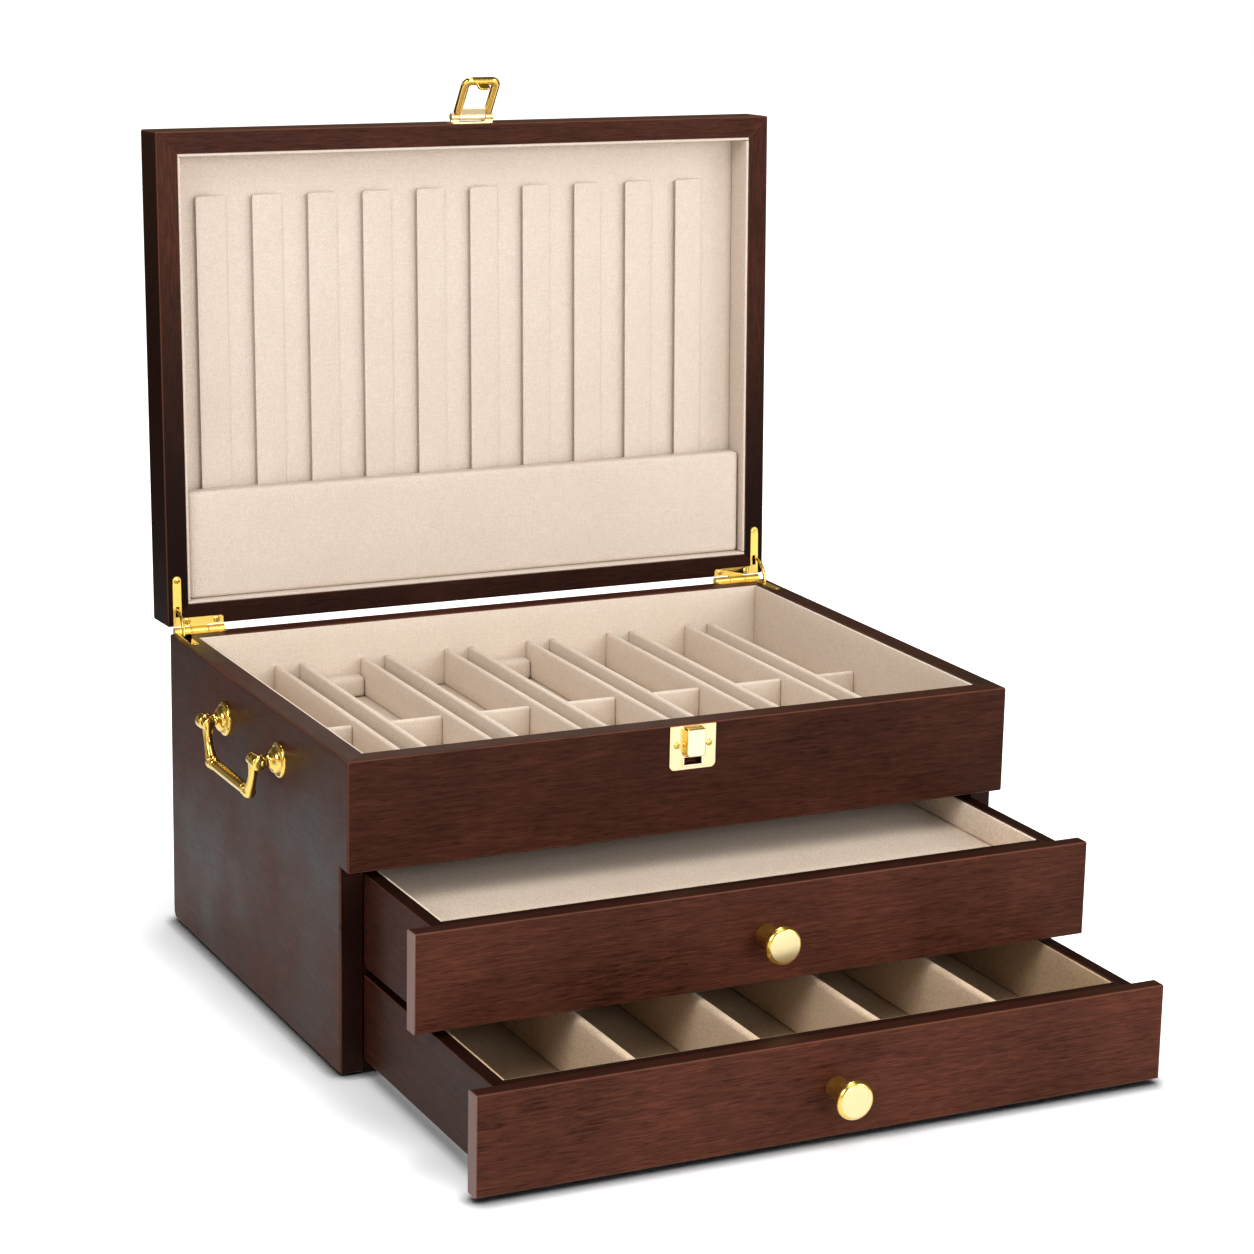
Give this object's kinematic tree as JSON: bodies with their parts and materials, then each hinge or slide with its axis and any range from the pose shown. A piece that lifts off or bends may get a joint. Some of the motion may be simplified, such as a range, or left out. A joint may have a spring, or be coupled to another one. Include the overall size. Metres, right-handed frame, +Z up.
{
  "type": "flatware chest",
  "caption": "Wooden flatware chest with a hinged lid, a lined and divided well, sliding lined drawers and brass hinges, hasp, knobs and bail handles.",
  "frame": {"origin": "middle of the case's footprint, on the face it stands on", "axes": "+X to the right as seen from the front, +Y from the front to the back, +Z up"},
  "size_m": [0.4358, 0.524, 0.5019],
  "materials": {
    "mahogany": "satin dark red-brown stain",
    "brass": "polished",
    "lining_fabric": "plain-woven beige cloth over board",
    "felt": "thin felt sheet"
  },
  "bodies": {
    "case": {"side_panel_left": "mahogany", "side_panel_right": "mahogany", "front_board": "mahogany", "back_panel": "mahogany", "base_panel": "mahogany", "drawer_divider_panel": "mahogany", "well_floor_panel": "mahogany", "top_rail": "mahogany", "kicker_strips": "mahogany", "base_felt": "felt", "well_lining": "lining_fabric", "well_long_dividers": "lining_fabric", "well_cross_dividers": "lining_fabric", "well_handle_rests": "lining_fabric", "catch_plate": "brass", "catch_screws": "brass", "left_handle_posts": "brass", "right_handle_posts": "brass", "handle_screws": "brass", "hinge_case_leaf_left": "brass", "hinge_case_leaf_right": "brass", "hinge_pins": "brass", "hinge_case_screws": "brass"},
    "lid": {"lid_rail_front": "mahogany", "lid_rail_back": "mahogany", "lid_rail_left": "mahogany", "lid_rail_right": "mahogany", "lid_top_panel": "mahogany", "lid_lining": "lining_fabric", "lid_knife_ribs": "lining_fabric", "lid_pocket_band": "lining_fabric", "hinge_lid_leaf_left": "brass", "hinge_lid_leaf_right": "brass", "hinge_lid_screws": "brass", "hasp_plate": "brass", "hasp_pin": "brass", "hasp_screws": "brass"},
    "stay_left": {"hinge_stay_left": "brass"},
    "stay_right": {"hinge_stay_right": "brass"},
    "hasp": {"hasp_frame": "brass"},
    "bail_left": {"left_bail": "brass", "left_bail_grip": "brass"},
    "bail_right": {"right_bail": "brass", "right_bail_grip": "brass"},
    "upper_drawer": {"upper_drawer_front": "mahogany", "upper_drawer_sides": "mahogany", "upper_drawer_ends": "mahogany", "upper_drawer_bottom": "mahogany", "upper_drawer_lining": "lining_fabric", "upper_drawer_knob": "brass", "upper_drawer_knob_screw": "brass"},
    "lower_drawer": {"lower_drawer_front": "mahogany", "lower_drawer_sides": "mahogany", "lower_drawer_ends": "mahogany", "lower_drawer_bottom": "mahogany", "lower_drawer_lining": "lining_fabric", "lower_drawer_knob": "brass", "lower_drawer_knob_screw": "brass", "lower_drawer_dividers": "lining_fabric"}
  },
  "joints": [
    {"name": "lid_hinge", "type": "hinge", "parent": "case", "child": "lid", "pos_m": [0, 0.1488, 0.1782], "axis": [1, 0, 0], "range_deg": [0, 92]},
    {"name": "left_stay_turn", "type": "hinge", "parent": "case", "child": "stay_left", "pos_m": [0, 0.1488, 0.1782], "axis": [1, 0, 0], "range_deg": [0, 46]},
    {"name": "right_stay_turn", "type": "hinge", "parent": "case", "child": "stay_right", "pos_m": [0, 0.1488, 0.1782], "axis": [1, 0, 0], "range_deg": [0, 46]},
    {"name": "hasp_hinge", "type": "hinge", "parent": "lid", "child": "hasp", "pos_m": [0, 0.16442, 0.47664], "axis": [1, 0, 0], "range_deg": [-106, 54]},
    {"name": "upper_drawer_slide", "type": "slide", "parent": "case", "child": "upper_drawer", "axis": [0, -1, 0], "range_m": [-0.092, 0.108]},
    {"name": "lower_drawer_slide", "type": "slide", "parent": "case", "child": "lower_drawer", "axis": [0, -1, 0], "range_m": [-0.171, 0.029]},
    {"name": "left_bail_hinge", "type": "hinge", "parent": "case", "child": "bail_left", "pos_m": [-0.2135, 0, 0.152], "axis": [0, 1, 0], "range_deg": [-25, 95]},
    {"name": "right_bail_hinge", "type": "hinge", "parent": "case", "child": "bail_right", "pos_m": [0.2135, 0, 0.152], "axis": [0, 1, 0], "range_deg": [-95, 25]}
  ],
  "couplings": [
    {"joint": "left_stay_turn", "follows": "lid_hinge", "ratio": 0.5},
    {"joint": "right_stay_turn", "follows": "lid_hinge", "ratio": 0.5}
  ]
}
